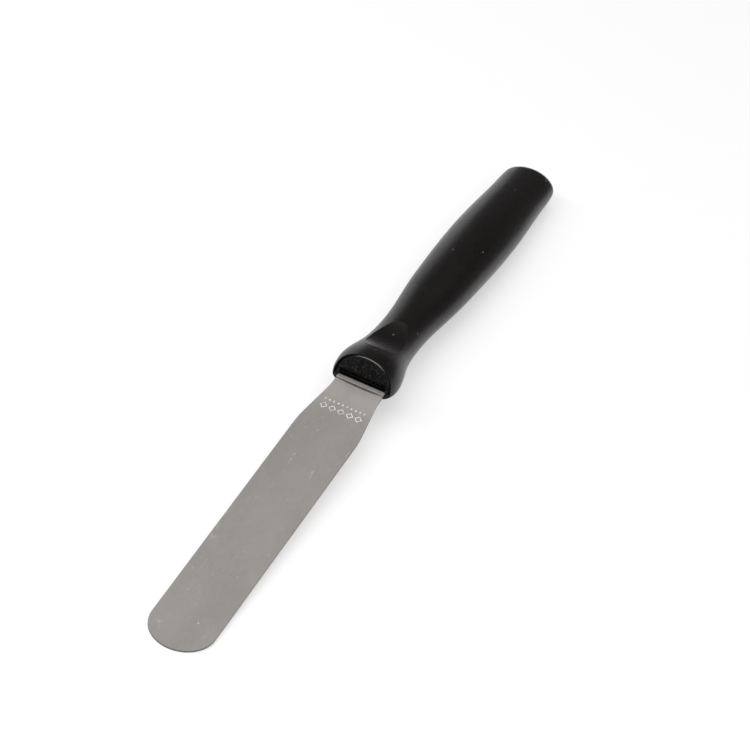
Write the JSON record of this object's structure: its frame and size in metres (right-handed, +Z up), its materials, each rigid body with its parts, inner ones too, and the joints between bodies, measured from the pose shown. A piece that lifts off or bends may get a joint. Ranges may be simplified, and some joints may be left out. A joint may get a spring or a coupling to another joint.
{
  "type": "offset spatula",
  "caption": "Small offset palette knife: a slim round-nosed spring-steel blade on a waisted black plastic handle, for spreading icing.",
  "frame": {"origin": "on the table under the middle of the knife, where it lies on the blade's nose and the handle's underside", "axes": "+Z up, +Y along the knife from the blade's nose to the handle's butt, +X across it"},
  "size_m": [0.0196, 0.2513, 0.0202],
  "materials": {
    "steel": "satin, faint lengthwise grain",
    "core_plastic": "coarse spark texture",
    "grip_plastic": "satin, fine moulded grain"
  },
  "bodies": {
    "root": {"blade": "steel", "handle_core": "core_plastic", "handle_grip": "grip_plastic"}
  },
  "joints": []
}
